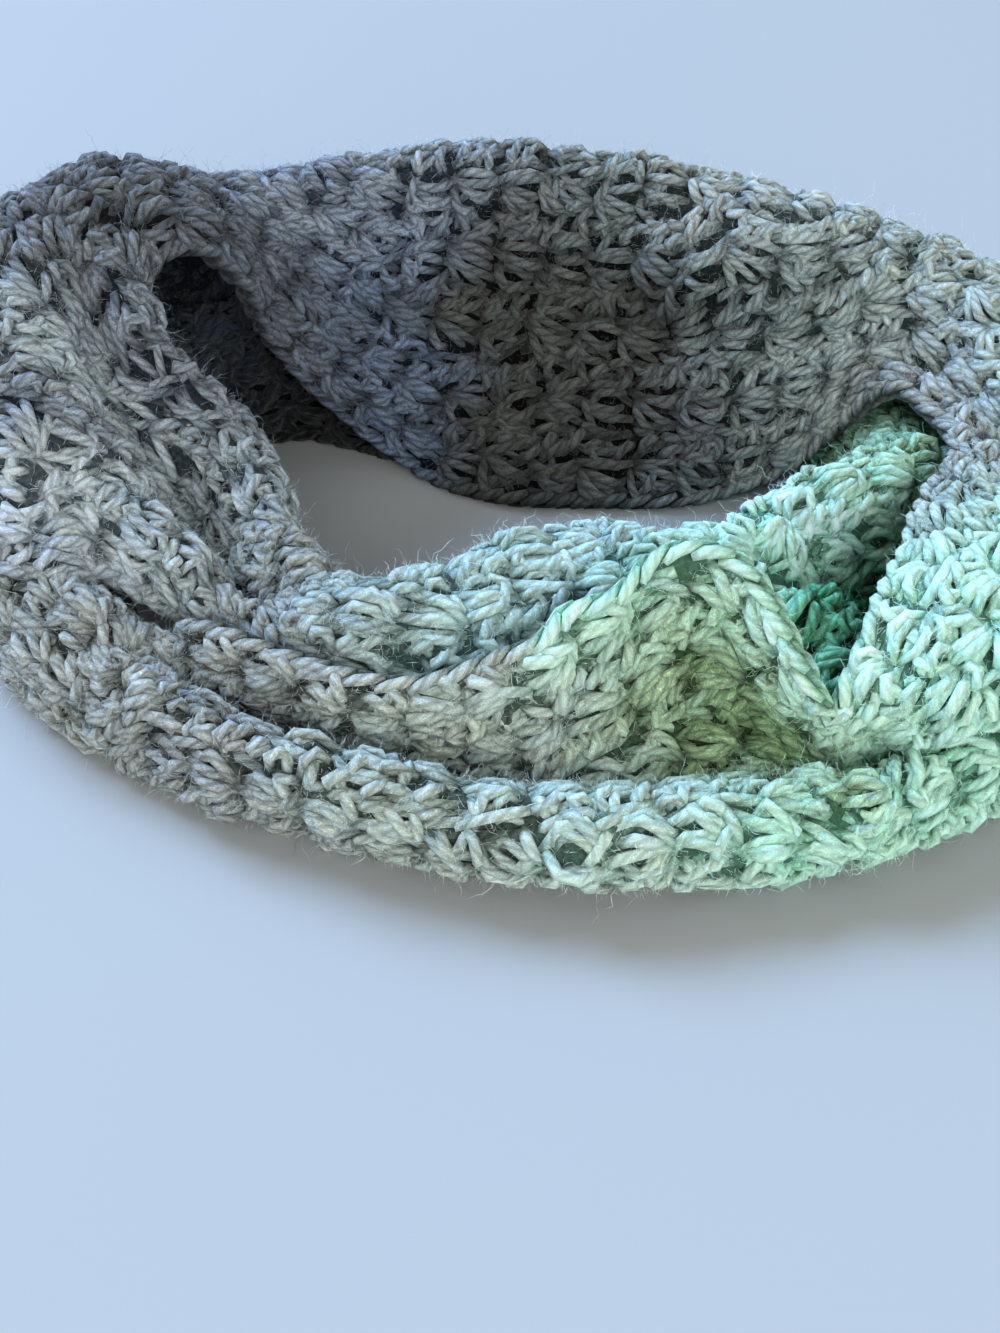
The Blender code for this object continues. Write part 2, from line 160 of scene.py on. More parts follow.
def bandGrid():
    # Point at section u and landmark v: the oval (A cos t, B sin t), moved `out` along its own normal
    # and up by `up`, with turn, out and up each read from a smooth curve through the sections.
    rows = [[(turn + skew * k / 8, out, up) for k, (out, up) in enumerate(pairs)]
            for turn, skew, *pairs in bandSections]
    rows.append([(turn + 720, out, up) for turn, out, up in rows[0]])
    marks = np.array(rows, float)
    crosswise = np.linspace(0, marks.shape[1] - 1, bandForm["samplesAcross"])
    grid = curveThrough(marks, samples / bandForm["samplesPerSection"])
    grid = curveThrough(grid.transpose(1, 0, 2), crosswise).transpose(1, 0, 2)
    turn, out, up = np.radians(grid[..., 0]), grid[..., 1], grid[..., 2]
    a, b = bandForm["guideHalfWidth"], bandForm["guideHalfDepth"]
    normal = unit(np.stack([b * np.cos(turn), a * np.sin(turn)], -1))
    flat = np.stack([a * np.cos(turn), b * np.sin(turn)], -1) + normal * out[..., None]
    return np.concatenate([flat + np.array(bandForm["guideCentre"]), up[..., None]], -1)


def evenAcross(grid):
    # Each cross row is read again at equal shares f of its own length: x(f) is x where the running
    # length is f times the whole. Rows are told apart by adding twice the row number to the share.
    step = np.linalg.norm(np.diff(grid, axis=1), axis=-1)
    length = np.concatenate([np.zeros((len(grid), 1)), step.cumsum(1)], 1)
    rowNumber = 2.0 * np.arange(len(grid))[:, None]
    known = (length / length[:, -1:] + rowNumber).ravel()
    wanted = (np.linspace(0, 1, grid.shape[1])[None] + rowNumber).ravel()
    even = [np.interp(wanted, known, grid[..., k].ravel()) for k in range(3)]
    return np.stack(even, -1).reshape(grid.shape), length[:, -1]


def bandDirections(grid):
    # Out of the cloth's face: the cross product of the step towards the tuck and the step from the row
    # behind to the row ahead, averaged with its neighbours. Across: square to that and to the row.
    ahead = np.concatenate([grid[1:], grid[1:2]])
    behind = np.concatenate([grid[-2:-1], grid[:-1]])
    along = unit(ahead - behind)
    normal = unit(np.cross(np.gradient(grid, axis=1), along))
    for _ in range(bandForm["normalPasses"]):
        wide = np.pad(normal, ((1, 1), (1, 1), (0, 0)), mode="edge")
        normal = unit(2 * normal + wide[:-2, 1:-1] + wide[2:, 1:-1] + wide[1:-1, :-2] + wide[1:-1, 2:])
    return unit(np.cross(along, normal)), normal


def softWaves(u, v, seed, size, period, count=9):
    # Sum of sine waves in random directions over the sheet, about -1 to 1, each 0.7 to 1.5 times `size`
    # long. Each fits a whole number of times into `period`, so the pattern closes round the band.
    source = np.random.default_rng(seed)
    total = np.zeros(np.broadcast(u, v).shape)
    for _ in range(count):
        angle, phase = source.uniform(0, 2 * np.pi, 2)
        length = size * source.uniform(0.7, 1.5)
        wavesRound = np.round(period * np.cos(angle) / length)
        total += np.sin(2 * np.pi * (u * wavesRound / period + v * np.sin(angle) / length) + phase)
    return total / np.sqrt(count)


def runningLength(grid):
    # Millimetres along the band from its first row, for each column.
    step = np.linalg.norm(np.diff(grid, axis=0), axis=-1)
    return np.concatenate([np.zeros((1, grid.shape[1])), step.cumsum(0)])


bandPoints, bandWidths = evenAcross(bandGrid())
bandAcross, bandNormals = bandDirections(bandPoints)
bandRun = runningLength(bandPoints)
bandLength, bandWidth = bandRun[-1].mean(), bandWidths.mean()
middleRun = bandRun[:, bandForm["samplesAcross"] // 2]
swell = softWaves(middleRun[:, None], np.linspace(0, bandWidth, bandForm["samplesAcross"])[None],
                  bandForm["puffSeed"], bandForm["puffSize"], middleRun[-1])
bandPoints += bandNormals * (swell * bandForm["puff"])[..., None]
print(f"band: {bandLength:.0f} mm round, {bandWidth:.0f} mm wide")


def readGrid(grid, u, f):
    # Bilinear reading: u counts samples along the closed band, f is the share of its width.
    u = np.mod(u, samplesRound)
    v = np.clip(f, 0, 1) * (grid.shape[1] - 1)
    row = np.minimum(np.floor(u).astype(int), samplesRound - 1)
    column = np.minimum(np.floor(v).astype(int), grid.shape[1] - 2)
    du, dv = (u - row)[..., None], (v - column)[..., None]
    near = grid[row, column] * (1 - dv) + grid[row, column + 1] * dv
    far = grid[row + 1, column] * (1 - dv) + grid[row + 1, column + 1] * dv
    return near * (1 - du) + far * du


def sampleAtTurn(turn):
    # Straight reading between the sections: the sample number where the band has gone round by `turn`.
    return np.interp(turn, bandTurns, sectionSamples)


def turnAtSample(u):
    # The same reading the other way.
    return np.interp(np.mod(u, samplesRound), sectionSamples, bandTurns)


# The slow change of colour along the yarn.
dyes = {  # linear colours of the yarn along its slow change, a few with painted shade or light as named
    "pitch": (0.04, 0.045, 0.05),
    "charcoal": (0.080, 0.087, 0.082),
    "navySlate": (0.11, 0.14, 0.20),
    "denim": (0.15, 0.205, 0.31),
    "lead": (0.17, 0.19, 0.21),
    "slate": (0.275, 0.33, 0.41),
    "smoke": (0.265, 0.325, 0.335),
    "steel": (0.28, 0.325, 0.38),
    "ash": (0.40, 0.445, 0.44),
    "zinc": (0.49, 0.585, 0.62),
    "pewter": (0.57, 0.65, 0.70),
    "silver": (0.48, 0.58, 0.54),
    "fog": (0.58, 0.67, 0.61),
    "mist": (0.58, 0.77, 0.70),
    "ice": (0.53, 0.735, 0.72),
    "sage": (0.36, 0.51, 0.32),
    # A dark fern: painted shade of the valley under the ruffle.
    "fern": (0.20, 0.35, 0.16),
    # Painted shade of the deep pocket under the arch.
    "pocket": (0.09, 0.42, 0.23),
    "jade": (0.40, 0.69, 0.50),
    # A darker mint, partly painted shade round the pocket under the arch.
    "deepMint": (0.30, 0.70, 0.50),
    "mint": (0.57, 0.95, 0.78),
    "brightMint": (0.58, 0.95, 0.80),
    # The palest mint, partly painted light on the mint roll that the arch shades.
    "paleMint": (0.66, 1.0, 0.90),
    # Pale rim yarn, partly painted highlight along the lit rim.
    "frost": (0.66, 0.98, 0.82),
}
shadeWander = {"degrees": 5, "size": 40, "widthScale": 150, "seed": 12}
shadePlaces = (0.0, 0.25, 0.5, 0.72, 1.0)  # shares of the width: rim, wall, top, roll and tuck
woolShades = [  # turn along the band, then the dye at each of the five places
    (-163, "ash ash ash ash ash"),
    (-125, "ash ash ash ash ash"),
    (-110, "fog silver silver silver silver"),
    (-97, "fog silver silver silver fog"),
    (-86, "frost silver mist mist fog"),
    (-76, "frost sage mist mist mint"),
    (-66, "frost fern sage mint mint"),
    (-58, "frost fern sage mint mint"),
    (-50, "frost mint mint mint mint"),
    (-36, "frost brightMint mint mint mint"),
    (-27, "silver brightMint brightMint mint mint"),
    (-15, "ash brightMint brightMint brightMint mint"),
    (5, "ash silver brightMint brightMint mint"),
    (20, "ash zinc silver silver fog"),
    (46, "ash smoke smoke zinc fog"),
    (58, "lead lead smoke ash silver"),
    (72, "charcoal charcoal charcoal smoke silver"),
    (98, "charcoal charcoal charcoal lead zinc"),
    (115, "denim denim denim slate zinc"),
    (133, "navySlate navySlate slate slate slate"),
    (160, "lead lead steel steel steel"),
    (172, "steel steel zinc pewter pewter"),
    (195, "zinc zinc zinc zinc zinc"),
    (225, "ash ash ash ash ash"),
    (253, "ice ice ice ice fog"),
    (284, "ice ice ice ice ice"),
    (300, "brightMint brightMint brightMint deepMint deepMint"),
    (312, "brightMint brightMint brightMint pocket deepMint"),
    (342, "paleMint paleMint paleMint pocket pocket"),
    (372, "jade jade jade pocket deepMint"),
    (392, "jade jade deepMint smoke smoke"),
    (425, "smoke smoke smoke smoke smoke"),
    (480, "lead lead slate slate slate"),
    (500, "pitch navySlate slate slate smoke"),
    (530, "smoke smoke smoke smoke ash"),
    (557, "ash ash ash ash ash"),
]


def woolColour(u, f):
    # Straight mix between the shades along the band, and between the places across it. It is read a few
    # degrees ahead or behind, as the change wanders from one row of stitches to the next.
    turns = np.array([shade[0] for shade in woolShades], float)
    shades = np.array([[dyes[dye] for dye in shade[1].split()] for shade in woolShades])
    u, f = np.broadcast_arrays(np.mod(u, samplesRound), np.clip(f, 0, 1))
    wander = softWaves(u, f * shadeWander["widthScale"], shadeWander["seed"], shadeWander["size"],
                       samplesRound)
    turn = turnAtSample(u) + shadeWander["degrees"] * wander
    mixed = np.zeros(u.shape + (3,))
    for place in range(len(shadePlaces)):
        weight = np.interp(f, shadePlaces, np.arange(len(shadePlaces)) == place)
        for channel in range(3):
            mixed[..., channel] += weight * np.interp(turn, turns, shades[:, place, channel])
    return mixed


# The finish of the yarn, of the thin cloth under it and of the fuzz.
woolFinish = {
    "twist": -0.5,  # turn of the plies round a strand, in radians a millimetre
    "streakRate": 0.2,  # how fast the fibre streaks change along a strand, against round it
    "streakShift": 900,  # how far along the pattern a strand can start, in mm
    "fibreScale": 8.0,  # streaks across a strand, counted on its unit circle
    "clothScale": 900,  # streaks of the backing and the halo, counted in a metre
    "streakRange": (0.36, 0.64),  # the part of the noise that spreads from the darkest to the lightest
    "streakDepth": 0.46,
    "paintedGrooveShade": 0.55,  # painted shade: how dark the groove between two of a strand's three plies is
    "grooveEdge": 0.2,  # cos 3a above this is the ply's own round top
    "plyRelief": 0.35,
    "roughness": 0.92,
    "sheen": 0.15,
    "sheenRoughness": 0.45,
    "specular": 0.08,
    "paleCalm": 0.65,  # how much weaker streaks and grooves are on the palest yarn
    "paleRange": (0.25, 0.85),  # brightness of yarn where this begins and where it is full
    "blotchScale": 70.0,
    "blotchDepth": 0.2,
    "looseScale": 480.0,
    "looseLight": 0.6,  # how much lighter the loose fibres that lie over a strand are
    "looseWidth": 0.03,
    "bumpStrength": 0.8,
    "bumpDistance": 0.0007,
    "backingBump": 0.0004,
    # Painted shade: the backing is this dark, standing for the shade between the strands.
    "backingPaintedShade": 0.15,
    # The hairs are lighter than the yarn, partly painted light for the glow of backlit fibres.
    "haloShade": 1.15,
}


def addNode(tree, kind, **values):
    # A new node. A value whose name is one of its sockets goes into the socket, any other is a setting.
    node = tree.nodes.new("ShaderNode" + kind)
    for key, value in values.items():
        if key in node.inputs:
            node.inputs[key].default_value = value
        else:
            setattr(node, key, value)
    return node


def addRange(tree, low, high, toLow, toHigh):
    # Straight map of low..high onto toLow..toHigh, held at its ends.
    ends = {"From Min": low, "From Max": high, "To Min": toLow, "To Max": toHigh}
    return addNode(tree, "MapRange", **ends)


def addMath(tree, operation, second=None, third=None):
    # One step of arithmetic. Its first value is joined in later, and the others are fixed if given.
    node = addNode(tree, "Math", operation=operation)
    for socket, value in ((1, second), (2, third)):
        if value is not None:
            node.inputs[socket].default_value = value
    return node


def woolMaterial(name, shade, sheen, onStrand, bumpDistance):
    # Colour = the wool attribute times streaks: fine noise drawn out along the fibres, a soft blotch
    # that is wider than a strand, and on a strand a painted shade in the groove where cos 3a is lowest,
    # a being the place round the twisted strand. The noise and the plies lift the surface a little. Pale
    # yarn keeps closer to its own shade. onStrand is whether the piece has the strands' fibre attribute.
    material = bpy.data.materials.new(name)
    material.use_nodes = True
    tree = material.node_tree
    join = tree.links.new
    shader = tree.nodes["Principled BSDF"]
    for socket, value in (("Roughness", woolFinish["roughness"]), ("Sheen Weight", sheen),
                          ("Sheen Roughness", woolFinish["sheenRoughness"]),
                          ("Specular IOR Level", woolFinish["specular"])):
        shader.inputs[socket].default_value = value
    dye = addNode(tree, "Attribute", attribute_name="wool")
    thirds = addMath(tree, "MULTIPLY", 3)
    onPiece = addNode(tree, "TexCoord").outputs["Object"]
    if onStrand:
        # Ring place (cos a, sin a, length) turned by the twist: cos and sin of a + twist times length.
        lay = addNode(tree, "Attribute", attribute_name="fibre")
        split = addNode(tree, "SeparateXYZ")
        ring = addMath(tree, "ARCTAN2")
        turned = addMath(tree, "MULTIPLY_ADD", woolFinish["twist"])
        drawn = addMath(tree, "MULTIPLY", woolFinish["streakRate"])
        combined = addNode(tree, "CombineXYZ")
        join(lay.outputs["Vector"], split.inputs["Vector"])
        join(split.outputs["Y"], ring.inputs[0])
        join(split.outputs["X"], ring.inputs[1])
        join(split.outputs["Z"], turned.inputs[0])
        join(ring.outputs[0], turned.inputs[2])
        for operation, socket in (("COSINE", "X"), ("SINE", "Y")):
            part = addMath(tree, operation)
            join(turned.outputs[0], part.inputs[0])
            join(part.outputs[0], combined.inputs[socket])
        join(split.outputs["Z"], drawn.inputs[0])
        join(drawn.outputs[0], combined.inputs["Z"])
        join(turned.outputs[0], thirds.inputs[0])
        place, scale = combined.outputs["Vector"], woolFinish["fibreScale"]
    else:
        place, scale = onPiece, woolFinish["clothScale"]
    fibres = addNode(tree, "TexNoise", Scale=scale, Detail=3.0, Roughness=0.6)
    blotch = addNode(tree, "TexNoise", Scale=woolFinish["blotchScale"], Detail=2.0)
    loose = addNode(tree, "TexNoise", Scale=woolFinish["looseScale"], Detail=1.0, Distortion=1.0)
    streak, depth = woolFinish["streakDepth"], woolFinish["blotchDepth"]
    spread = addRange(tree, *woolFinish["streakRange"], shade * (1 - streak), shade * (1 + streak))
    soft = addRange(tree, 0, 1, 1 - depth, 1 + depth)
    line = addRange(tree, 0, woolFinish["looseWidth"], 1 + woolFinish["looseLight"], 1)
    # Painted shade in the grooves between the plies.
    groove = addRange(tree, -1, woolFinish["grooveEdge"], 1 - woolFinish["paintedGrooveShade"] * onStrand, 1)
    calm = addRange(tree, *woolFinish["paleRange"], 1, 1 - woolFinish["paleCalm"])
    halved = addMath(tree, "SUBTRACT", 0.5)
    distance, plies = addMath(tree, "ABSOLUTE"), addMath(tree, "COSINE")
    both, lined, grooved = (addMath(tree, "MULTIPLY") for _ in range(3))
    relief = addMath(tree, "MULTIPLY_ADD", woolFinish["plyRelief"])
    centred = addMath(tree, "SUBTRACT", shade)
    eased = addMath(tree, "MULTIPLY_ADD", third=shade)
    pale = addNode(tree, "RGBToBW")
    tint = addNode(tree, "VectorMath", operation="SCALE")
    bump = addNode(tree, "Bump", Strength=woolFinish["bumpStrength"], Distance=bumpDistance)
    for giver, taker, socket in (  # a giver is a node, for its first output, or a socket
            (place, fibres, "Vector"), (fibres, spread, "Value"), (onPiece, blotch, "Vector"),
            (blotch, soft, "Value"), (thirds, plies, 0), (plies, groove, "Value"), (plies, relief, 0),
            (fibres, relief, 2), (onPiece, loose, "Vector"), (loose, halved, 0), (halved, distance, 0),
            (distance, line, "Value"), (spread, both, 0), (soft, both, 1), (both, lined, 0),
            (line, lined, 1), (lined, grooved, 0), (groove, grooved, 1), (dye, tint, 0), (dye, pale, 0),
            (pale, calm, "Value"), (grooved, centred, 0), (centred, eased, 0), (calm, eased, 1),
            (eased, tint, "Scale"), (relief, bump, "Height")):
        join(getattr(giver, "outputs", (giver,))[0], taker.inputs[socket])
    join(tint.outputs["Vector"], shader.inputs["Base Color"])
    join(bump.outputs["Normal"], shader.inputs["Normal"])
    return material


brushedWool = woolMaterial("brushedWool", 1.0, woolFinish["sheen"], True, woolFinish["bumpDistance"])
# The backing's material darkens it into painted shade.
paintedShadeBacking = woolMaterial("paintedShadeBacking", woolFinish["backingPaintedShade"], 0.0, False, woolFinish["backingBump"])
woolHalo = woolMaterial("woolHalo", woolFinish["haloShade"], woolFinish["sheen"], False, 0.0)
print(f"wool: {len(dyes)} dyes, three materials")


# From arrays to pieces.
def makePiece(name, slot, material, points, corners, sizes, colours, fibres=None):
    # One mesh from whole arrays: points in mm, every face's corners in one row, and each face's size.
    mesh = bpy.data.meshes.new(name)
    mesh.vertices.add(len(points))
    mesh.vertices.foreach_set("co", (points * mm).astype(np.float32).ravel())
    mesh.loops.add(len(corners))
    mesh.loops.foreach_set("vertex_index", corners.astype(np.int32))
    mesh.polygons.add(len(sizes))
    mesh.polygons.foreach_set("loop_start", (np.cumsum(sizes) - sizes).astype(np.int32))
    mesh.polygons.foreach_set("use_smooth", np.ones(len(sizes), bool))
    tint = mesh.attributes.new("wool", "FLOAT_COLOR", "POINT")
    rgba = np.concatenate([np.clip(colours, 0, 1), np.ones((len(points), 1))], 1)
    tint.data.foreach_set("color", rgba.astype(np.float32).ravel())
    if fibres is not None:
        lay = mesh.attributes.new("fibre", "FLOAT_VECTOR", "POINT")
        lay.data.foreach_set("vector", fibres.astype(np.float32).ravel())
    mesh.update(calc_edges=True)
    mesh.materials.append(material)
    piece = bpy.data.objects.new(name, mesh)
    bpy.context.scene.collection.objects.link(piece)
    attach(piece, "root")
    return piece


def onFloor(points):
    # Nothing goes under the floor: a height below 0 becomes 0.
    points[..., 2] = np.maximum(points[..., 2], 0)
    return points


# The thin cloth under the stitches, dark as painted shade between them.
backing = {"halfThickness": 0.8, "rowStep": 3, "columnStep": 5, "endGap": 0.05}


def backingShell(name, first, last):
    # Closed thin shell: the stretch's middle surface moved half its thickness out on both sides, the
    # two sides sewn together round their four edges.
    start, end = sampleAtTurn(first), sampleAtTurn(last)
    gap = backing["endGap"]
    u = np.linspace(start + gap, end - gap, int(np.ceil((end - start) / backing["rowStep"])) + 1)
    f = np.linspace(0, 1, (bandForm["samplesAcross"] - 1) // backing["columnStep"] + 1)
    u, f = np.meshgrid(u, f, indexing="ij")
    middle, normal = readGrid(bandPoints, u, f), unit(readGrid(bandNormals, u, f))
    points = onFloor(np.stack([middle + normal * side * backing["halfThickness"] for side in (-1, 1)]))
    number = np.arange(2 * u.size).reshape(2, *u.shape)
    under, over = number
    faces = [np.stack([under[:-1, :-1], under[1:, :-1], under[1:, 1:], under[:-1, 1:]], -1).reshape(-1, 4),
             np.stack([over[:-1, :-1], over[:-1, 1:], over[1:, 1:], over[1:, :-1]], -1).reshape(-1, 4)]
    for edge in (np.s_[:, 0], np.s_[:, -1, ::-1], np.s_[:, ::-1, 0], np.s_[:, :, -1]):
        low, high = number[edge]
        faces.append(np.stack([low[:-1], low[1:], high[1:], high[:-1]], -1))
    faces = np.concatenate(faces)
    # Painted shade: the backing's colour is deepened as deep between strands.
    colours = np.stack([woolColour(u, f) ** (1 + stitchForm["paintedCreviceSaturation"])] * 2).reshape(-1, 3)
    sizes = np.full(len(faces), 4)
    piece = makePiece(name + "_backing", name + "_wool", paintedShadeBacking, points.reshape(-1, 3), faces.ravel(),
                      sizes, colours)
    run = np.interp([start, end], samples, bandRun.mean(1))
    width = np.interp(u[:, 0], samples, bandWidths).mean()
    return piece, width * mm, (run[1] - run[0]) * mm


# How much sky the cloth sees, which sets the painted shade of the wool in a fold.
sightForm = {
    "offCloth": 3.2,  # where the straight lines start
    "start": 1.0,  # and where the line that asks if another layer lies against it does
    "directions": 48,
    "lowest": 0.06,
    "rowStep": 5,
    "columnStep": 8,
    "clothStep": 4,  # the cloth that can stand in the way, taken every so many samples
    "starPlaces": ((3.0, 12.0), (8.5, 7.0), (14.0, 4.0)),  # where a star's own share is read, on its chart
    "leastShare": 0.03,  # a star that sees less isn't made
}


def openSky(side):
    # Share of the sky that each place of the cloth sees, for its face or its back: from just off the
    # cloth, straight lines go out in directions spread evenly over the upper half of a sphere, and those
    # that meet no cloth count. Where another layer lies against it the share is 0. The places between
    # are filled in by straight lines, as weights from the rows and the columns that were looked at.
    step = sightForm["clothStep"]
    cloth = bandPoints[::step, ::step]
    number = np.arange(cloth.shape[0] * cloth.shape[1]).reshape(cloth.shape[:2])
    faces = np.stack([number[:-1, :-1], number[1:, :-1], number[1:, 1:], number[:-1, 1:]], -1)
    layers = BVHTree.FromPolygons(cloth.reshape(-1, 3).tolist(), faces.reshape(-1, 4).tolist())
    order = np.arange(sightForm["directions"]) + 0.5
    rise = sightForm["lowest"] + (1 - sightForm["lowest"]) * order / sightForm["directions"]
    spin = order * np.pi * (3 - np.sqrt(5))
    flat = np.sqrt(1 - rise**2)
    ways = [Vector(way) for way in np.stack([flat * np.cos(spin), flat * np.sin(spin), rise], -1)]
    rows, columns = (np.arange(0, size, step) for size, step in zip(
        bandPoints.shape, (sightForm["rowStep"], sightForm["columnStep"])))
    places = bandPoints[np.ix_(rows, columns)].reshape(-1, 3)
    away = bandNormals[np.ix_(rows, columns)].reshape(-1, 3) * side
    reach = sightForm["offCloth"] - sightForm["start"]
    free = [layers.ray_cast(Vector(near), Vector(out), reach)[0] is None
            for near, out in zip(places + away * sightForm["start"], away)]
    seen = [sum(layers.ray_cast(Vector(place), way)[0] is None for way in ways) if clear else 0
            for place, clear in zip(places + away * sightForm["offCloth"], free)]
    shares = np.array(seen).reshape(len(rows), len(columns)) / len(ways)
    weights = [np.stack([np.interp(np.arange(size), known, one) for one in np.eye(len(known))], 1)
               for size, known in zip(bandPoints.shape, (rows, columns))]
    return (weights[0] @ shares @ weights[1].T)[..., None]


skyShares = {side: openSky(side) for side in (1, -1)}
print(f"open sky: {skyShares[1].mean():.0%} over the face, {skyShares[-1].mean():.0%} over the back")


def paintedFoldLight(u, f, side):
    # Painted light left in a fold, for wool on the face (side 1) or on the back (-1): sky share over
    # foldShare, to the power foldPower.
    face, back = (readGrid(skyShares[which], u, f)[..., 0] for which in (1, -1))
    share = np.where(side > 0, face, back)
    return np.clip(share / stitchForm["foldShare"], stitchForm["paintedFoldLight"], 1) ** stitchForm["foldPower"]


# The stitches: charts of one star, laid side by side in rows along the band.
stitchForm = {
    "rows": 6,
    "starPitch": 14.6,  # along the band
    "starLength": 17.5,  # its size along and across, on the charts below
    "starHeight": 15.0,
    "rowOffset": 0.5,  # each row's stars stand this share of a star further on
    "leanStep": 0.04,  # share of the width over which the cloth's lean is read
    "starWander": 1.0,  # how far a whole star strays, in mm
    "starTilt": 0.15,  # and turns, in radians
    "wander": (0.7, 1.3, 0.7),  # how far a strand's start, middle and end stray
    "thickSpread": 0.09,
    "shadeSpread": 0.11,
    "hueSpread": 0.022,
    "hueShift": (1.0, 0.2, -1.0),  # which way that goes in red, green and blue
    "rings": 4,
    "liftSpread": 0.5,
    "taper": 0.2,
    "dive": 0.8,
    "sides": (30, 90, 150, 210, 270, 330),  # corners round a strand, in degrees
    "underSides": (45, 135, 225, 315),
    "paintedCreviceShade": 0.32,  # painted shade: how dark the wool is deep between the strands, and what a white one adds
    "paintedCrevicePale": 0.5,
    "creviceDepth": 3.3,
    "paintedCreviceSaturation": 0.9,  # and how much deeper its colour is in that painted shade, as light passes from fibre to fibre
    "paintedRoundShade": 0.3,  # painted shade: how much darker a strand is half way round than on top
    "paintedRoundTop": 0.8,  # the height on its unit circle where it keeps its own colour: painted lighter above, darker below
    "foldShare": 0.33,  # wool that sees less of the sky than this is in a fold and gets painted shade
    "paintedFoldLight": 0.12,
    "foldPower": 1.3,
}
Strand = namedtuple("Strand", "startX startY midX midY endX endY sink lift thick")
starChart = [  # five legs run into the star's eye, then two half doubles stand on it
    Strand(1.4, 9.9, 8.2, 9.7, 15.4, 8.4, 0.3, 1.7, 1.46),
    Strand(-0.4, 7.5, 7.4, 7.6, 15.5, 7.9, 0.5, 2.2, 1.52),
    Strand(0.2, 4.6, 8.2, 5.3, 15.6, 7.4, 0.4, 2.0, 1.52),
    Strand(3.4, 1.7, 10.2, 3.1, 15.9, 6.9, 0.4, 2.2, 1.52),
    Strand(10.0, -0.3, 14.2, 1.8, 16.4, 6.3, 0.4, 1.9, 1.52),
    Strand(2.0, 9.6, 2.9, 12.0, 3.3, 14.8, 0.2, 1.3, 1.52),
    Strand(-0.8, 14.0, 2.8, 12.4, 6.4, 10.3, 0.5, 2.3, 1.52),
    Strand(-0.4, 15.6, 4.1, 14.3, 8.4, 15.2, 0.4, 1.9, 1.46),
    Strand(10.7, 9.6, 11.6, 12.0, 12.0, 14.8, 0.2, 1.3, 1.52),
    Strand(7.9, 14.0, 11.5, 12.4, 15.1, 10.3, 0.5, 2.3, 1.52),
    Strand(8.3, 15.6, 12.8, 14.3, 17.1, 15.2, 0.4, 1.9, 1.46),
]
underChart = [  # what lies below them, seen only between the strands
    Strand(-1.0, 1.6, 8.5, 2.2, 18.5, 1.4, 0.7, 0.4, 1.8),
    Strand(-1.0, 4.8, 8.5, 4.2, 18.5, 5.0, 0.7, 0.4, 1.8),
    Strand(-1.0, 7.6, 8.5, 7.3, 18.5, 7.8, 0.7, 0.4, 1.8),
    Strand(-1.0, 10.8, 8.5, 11.2, 18.5, 10.5, 0.7, 0.4, 1.8),
    Strand(-1.0, 14.2, 8.5, 13.8, 18.5, 14.4, 0.7, 0.4, 1.8),
    Strand(9.5, 9.5, 13.0, 5.5, 17.5, 2.5, 0.5, 0.9, 1.7),
    Strand(4.5, 14.5, 7.0, 11.5, 9.5, 9.0, 0.5, 0.9, 1.7),
]
reverseChart = [  # the back of the cloth: low bars along the rows
    Strand(-0.5, 2.4, 8.4, 4.0, 17.4, 2.8, 0.3, 1.3, 2.1),
    Strand(-0.5, 6.0, 4.4, 7.4, 9.4, 5.8, 0.3, 1.5, 2.0),
    Strand(8.4, 6.0, 13.0, 7.4, 18.0, 5.8, 0.3, 1.5, 2.0),
    Strand(0.0, 10.4, 4.4, 9.0, 9.4, 10.6, 0.3, 1.5, 2.0),
    Strand(8.6, 10.4, 13.0, 9.0, 18.0, 10.6, 0.3, 1.5, 2.0),
    Strand(0.0, 13.6, 8.6, 12.8, 17.8, 14.0, 0.3, 1.2, 2.1),
]


def rowColumn(row):
    # The cloth's column in the middle of a row of stars: (row + 1/2) over the rows, of all columns.
    return int((row + 0.5) / stitchForm["rows"] * (bandForm["samplesAcross"] - 1))


def starPlaces():
    # Each row holds a whole number of stars: star i of row r starts at (i + offset) times the row's
    # length over their number. Gives rows, starts and lengths in mm along the row, one entry a star.
    rows, starts, lengths = [], [], []
    for row in range(stitchForm["rows"]):
        whole = bandRun[-1, rowColumn(row)]
        count = int(round(whole / stitchForm["starPitch"]))
        rows.append(np.full(count, row))
        starts.append((np.arange(count) + (row * stitchForm["rowOffset"]) % 1) * whole / count)
        lengths.append(np.full(count, whole / count))
    return np.concatenate(rows), np.concatenate(starts), np.concatenate(lengths)


def rowLean(row, run):
    # How far along the row one width of the cloth leans, in mm: the step across times the direction
    # along, both read in the middle of the star.
    u = sampleAtRun(rowColumn(row), run)
    f = (row + 0.5) / stitchForm["rows"]
    along = unit(readGrid(bandPoints, u + 0.5, f) - readGrid(bandPoints, u - 0.5, f))
    near = stitchForm["leanStep"]
    step = readGrid(bandPoints, u, f + near) - readGrid(bandPoints, u, f - near)
    return (step * along).sum(-1) / (2 * near)


def starToBand(rows, starts, lengths, x, y):
    # Chart places x, y of each star as sample number u and share f of the width. Where the cloth leans,
    # run goes back by as much as the row's step across goes along, so that a star stays square.
    f = (rows[:, None] + y / stitchForm["starHeight"]) / stitchForm["rows"]
    run = starts[:, None] + x / stitchForm["starLength"] * lengths[:, None]
    for row in range(stitchForm["rows"]):
        chosen = rows == row
        lean = rowLean(row, (starts + lengths / 2)[chosen])[:, None]
        run[chosen] -= lean * (f[chosen] - (row + 0.5) / stitchForm["rows"])
    u = np.empty(run.shape)
    for row in range(stitchForm["rows"]):
        u[rows == row] = sampleAtRun(rowColumn(row), run[rows == row])
    return u, f


def sampleAtRun(column, run):
    # The sample number u where a column's running length is `run`, going round the closed band.
    whole = bandRun[-1, column]
    return np.interp(np.mod(run, whole), bandRun[:, column], samples)


